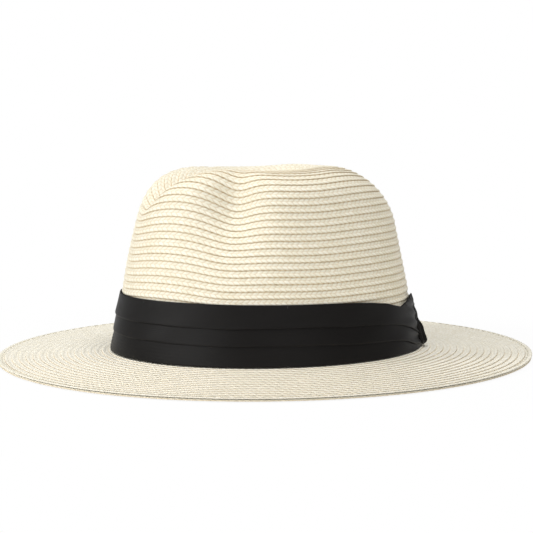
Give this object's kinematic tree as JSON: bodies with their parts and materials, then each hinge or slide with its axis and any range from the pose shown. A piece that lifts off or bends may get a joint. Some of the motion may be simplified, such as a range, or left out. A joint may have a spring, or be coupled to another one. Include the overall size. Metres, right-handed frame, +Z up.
{
  "type": "panama hat",
  "caption": "Wide flat-brimmed straw fedora sewn from plaited paper braid, with a teardrop-dented pinched crown, a pleated black satin band and a sweatband inside",
  "frame": {"origin": "under the middle of the hat, in the plane the underside of the brim edge rests on", "axes": "+Z up through the crown, -Y to the front of the hat, +X to the wearer's left"},
  "size_m": [0.318, 0.352, 0.1237],
  "materials": {
    "straw": "matte plaited paper braid",
    "reed": "translucent flat plastic",
    "thread": "sewing thread",
    "backing": "stiff woven backing",
    "satin": "satin sheen",
    "band_thread": "sewing thread",
    "sweatband": "woven cotton tape",
    "label": "woven tape, blank"
  },
  "bodies": {
    "root": {"crown_braid": "straw", "brim_braid": "straw", "brim_edge_braid": "straw", "brim_edge_reed": "reed", "brim_edge_stitches": "thread", "hatband_backing": "backing", "hatband": "satin", "hatband_knot": "satin", "hatband_tail": "satin", "hatband_tacks": "band_thread", "sweatband": "sweatband", "sweatband_stitches": "thread", "size_label": "label"}
  },
  "joints": []
}
